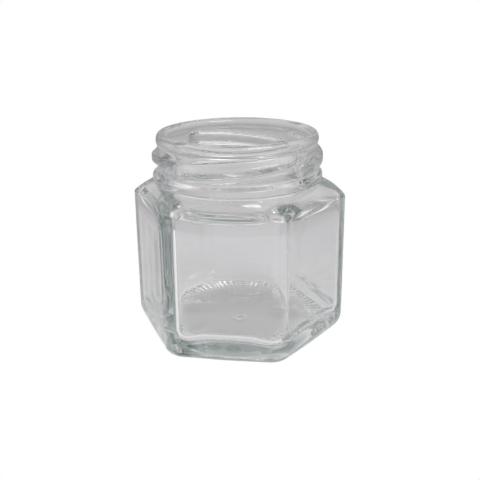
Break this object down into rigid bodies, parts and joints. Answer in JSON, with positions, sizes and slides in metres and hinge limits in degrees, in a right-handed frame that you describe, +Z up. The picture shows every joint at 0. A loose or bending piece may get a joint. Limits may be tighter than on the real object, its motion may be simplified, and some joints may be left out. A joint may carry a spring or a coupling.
{
  "type": "hexagonal preserve jar",
  "caption": "Small clear glass preserve jar with a hexagonal body, sloped shoulder and round lugged neck for a twist-off lid, open and empty.",
  "frame": {"origin": "centre of the base, in the plane that the jar stands on", "axes": "+Z up the axis of the jar towards its mouth, X through two opposite corners of the body, -Y out of the front face"},
  "size_m": [0.0536, 0.0474, 0.051],
  "materials": {
    "clear_glass": "clear fire-polished glass with a faint grey-green cast in thick places"
  },
  "bodies": {
    "root": {"jar_glass": "clear_glass"}
  },
  "joints": []
}
